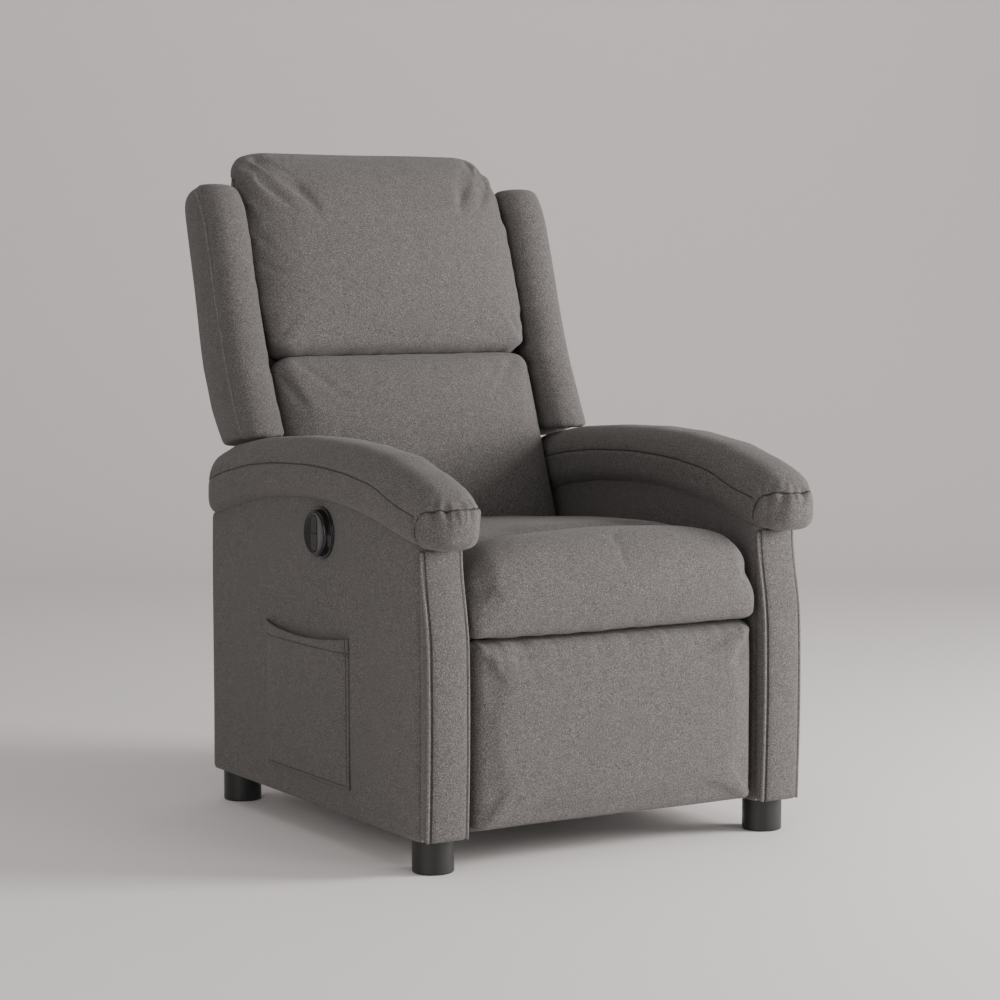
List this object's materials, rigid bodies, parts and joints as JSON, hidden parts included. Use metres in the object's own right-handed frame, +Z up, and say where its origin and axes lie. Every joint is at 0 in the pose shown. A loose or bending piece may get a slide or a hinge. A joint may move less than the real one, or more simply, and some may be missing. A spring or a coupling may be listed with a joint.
{
  "type": "recliner armchair",
  "caption": "Power recliner armchair with winged tilting back, padded arched arms, fold-out footrest, side pocket and push-button control.",
  "frame": {"origin": "on the floor under the middle of the chair's overall box", "axes": "+X to the sitter's left, -Y forward (the way the chair faces), +Z up"},
  "size_m": [0.692, 0.8886, 1.0591],
  "materials": {
    "grey_fabric": "heathered grey woven upholstery over foam",
    "pocket_fabric": "same weave as the arm",
    "timber": "planed softwood",
    "plywood": "birch plywood",
    "black_steel": "satin black powder coat",
    "bright_steel": "drawn bar",
    "zinc_steel": "zinc plated",
    "spring_steel": "oiled wire",
    "motor_casing": "moulded casing",
    "drive_block_plastic": "natural nylon",
    "matte_black_plastic": "moulded",
    "black_foot_plastic": "moulded",
    "gloss_black_plastic": "polished"
  },
  "bodies": {
    "base": {"right_arm_frame": "timber", "left_arm_frame": "timber", "right_arm_outer_panel": "grey_fabric", "left_arm_outer_panel": "grey_fabric", "right_arm_inner_panel": "grey_fabric", "left_arm_inner_panel": "grey_fabric", "right_arm_front_strip": "grey_fabric", "left_arm_front_strip": "grey_fabric", "right_arm_pad": "grey_fabric", "left_arm_pad": "grey_fabric", "right_front_foot": "black_foot_plastic", "right_rear_foot": "black_foot_plastic", "left_front_foot": "black_foot_plastic", "left_rear_foot": "black_foot_plastic", "foot_bolts": "zinc_steel", "right_side_plate": "black_steel", "left_side_plate": "black_steel", "side_plate_bolts": "zinc_steel", "front_cross_rail": "black_steel", "rear_cross_rail": "black_steel", "seat_front_rail": "timber", "seat_rear_rail": "timber", "footrest_actuator_rail": "black_steel", "recline_actuator_rail": "black_steel", "footrest_motor": "motor_casing", "recline_motor": "motor_casing", "control_box": "matte_black_plastic", "rear_valance": "grey_fabric", "power_inlet": "matte_black_plastic", "seat_springs": "spring_steel", "seat_cushion": "grey_fabric", "control_base_plate": "gloss_black_plastic", "control_ring": "gloss_black_plastic", "side_pocket": "pocket_fabric"},
    "back": {"back_board": "plywood", "lower_back_cushion": "grey_fabric", "headrest_cushion": "grey_fabric", "back_rear_cover": "grey_fabric", "right_wing": "grey_fabric", "left_wing": "grey_fabric", "right_back_bracket": "black_steel", "left_back_bracket": "black_steel", "back_cross_shaft": "bright_steel"},
    "rear_swing_links": {"right_rear_swing_link": "black_steel", "left_rear_swing_link": "black_steel", "footrest_cross_shaft": "bright_steel"},
    "lower_carrying_links": {"right_lower_carrying_link": "black_steel", "left_lower_carrying_link": "black_steel"},
    "footrest": {"footrest_board": "plywood", "footrest_pad": "grey_fabric", "right_footrest_bracket": "black_steel", "left_footrest_bracket": "black_steel"},
    "front_swing_links": {"right_front_swing_link": "black_steel", "left_front_swing_link": "black_steel"},
    "upper_carrying_links": {"right_upper_carrying_link": "black_steel", "left_upper_carrying_link": "black_steel"},
    "footrest_drive_block": {"footrest_drive_block": "drive_block_plastic"},
    "recline_drive_block": {"recline_drive_block": "drive_block_plastic"},
    "recline_button": {"recline_button": "gloss_black_plastic"},
    "return_button": {"return_button": "gloss_black_plastic"}
  },
  "joints": [
    {"name": "footrest_extend", "type": "hinge", "parent": "base", "child": "rear_swing_links", "pos_m": [0, -0.05835, 0.255], "axis": [-1, 0, 0], "range_deg": [0, 90]},
    {"name": "rear_link_lower_pivot", "type": "hinge", "parent": "rear_swing_links", "child": "lower_carrying_links", "pos_m": [0, 0.01415, 0.0825], "axis": [-1, 0, 0], "range_deg": [-90, 0]},
    {"name": "footrest_bracket_pivot", "type": "hinge", "parent": "lower_carrying_links", "child": "footrest", "pos_m": [0, -0.30585, 0.2275], "axis": [-1, 0, 0], "range_deg": [0, 90]},
    {"name": "front_link_pivot", "type": "hinge", "parent": "base", "child": "front_swing_links", "pos_m": [0, -0.17035, 0.30575], "axis": [-1, 0, 0], "range_deg": [0, 90]},
    {"name": "front_link_lower_pivot", "type": "hinge", "parent": "front_swing_links", "child": "upper_carrying_links", "pos_m": [0, -0.07247, 0.07287], "axis": [-1, 0, 0], "range_deg": [-90, 0]},
    {"name": "footrest_drive_slide", "type": "slide", "parent": "base", "child": "footrest_drive_block", "axis": [0, -1, 0], "range_m": [0, 0.1]},
    {"name": "back_recline", "type": "hinge", "parent": "base", "child": "back", "pos_m": [0, 0.18665, 0.33], "axis": [-1, 0, 0], "range_deg": [0, 30]},
    {"name": "recline_drive_slide", "type": "slide", "parent": "base", "child": "recline_drive_block", "axis": [0, -1, 0], "range_m": [0, 0.06709]},
    {"name": "recline_button_push", "type": "slide", "parent": "base", "child": "recline_button", "axis": [1, 0, 0], "range_m": [0, 0.0025], "stiffness_N_per_m": 1000, "springref_m": -0.001},
    {"name": "return_button_push", "type": "slide", "parent": "base", "child": "return_button", "axis": [1, 0, 0], "range_m": [0, 0.0025], "stiffness_N_per_m": 1000, "springref_m": -0.001}
  ],
  "couplings": [
    {"joint": "rear_link_lower_pivot", "follows": "footrest_extend", "ratio": -1},
    {"joint": "footrest_bracket_pivot", "follows": "footrest_extend", "ratio": 1},
    {"joint": "front_link_pivot", "follows": "footrest_extend", "ratio": 1},
    {"joint": "front_link_lower_pivot", "follows": "footrest_extend", "ratio": -1},
    {"joint": "footrest_drive_slide", "follows": "footrest_extend", "m_per_rad": 0.063662},
    {"joint": "recline_drive_slide", "follows": "back_recline", "m_per_rad": 0.12794}
  ]
}
